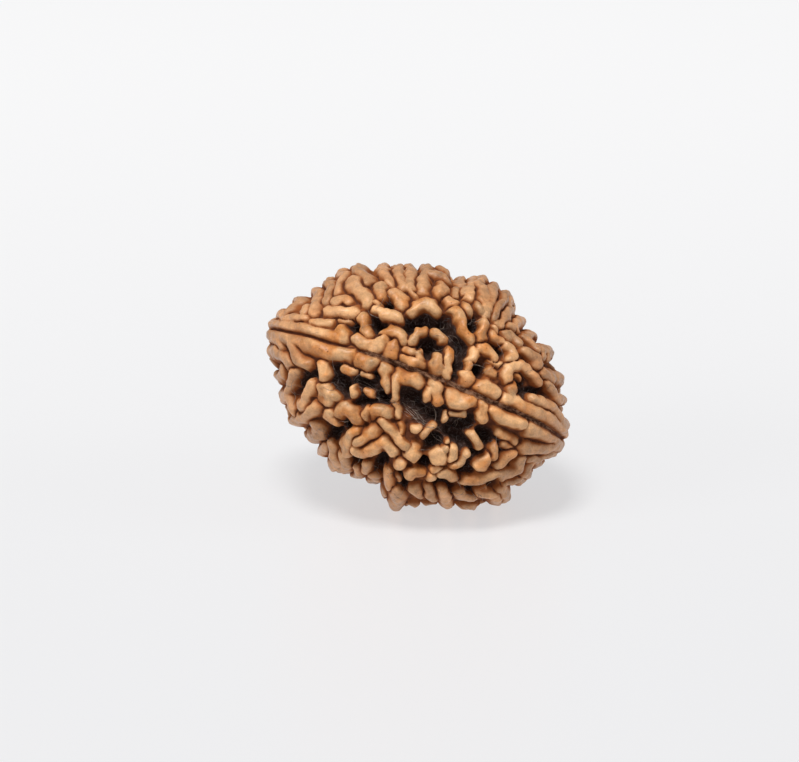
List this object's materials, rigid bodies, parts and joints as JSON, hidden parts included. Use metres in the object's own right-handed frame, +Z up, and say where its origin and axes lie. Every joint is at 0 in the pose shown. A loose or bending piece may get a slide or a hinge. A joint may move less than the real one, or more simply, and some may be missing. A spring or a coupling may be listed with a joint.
{
  "type": "rudraksha bead",
  "caption": "Dried woody rudraksha stone, lens-shaped, with deep knobbly ridges and a seam between paired lips running from tip to tip.",
  "frame": {"origin": "On the surface that the bead lies on, under the middle of its bounding box", "axes": "+X runs to the right along the bead's longest extent, +Z up, and the front pole with its dark hollows looks along -Y and 20 degrees up"},
  "size_m": [0.0248, 0.0195, 0.0201],
  "materials": {
    "wood": "dried, faintly waxy wood, dark brown in its creases"
  },
  "bodies": {
    "root": {"rudraksha_bead": "wood"}
  },
  "joints": []
}
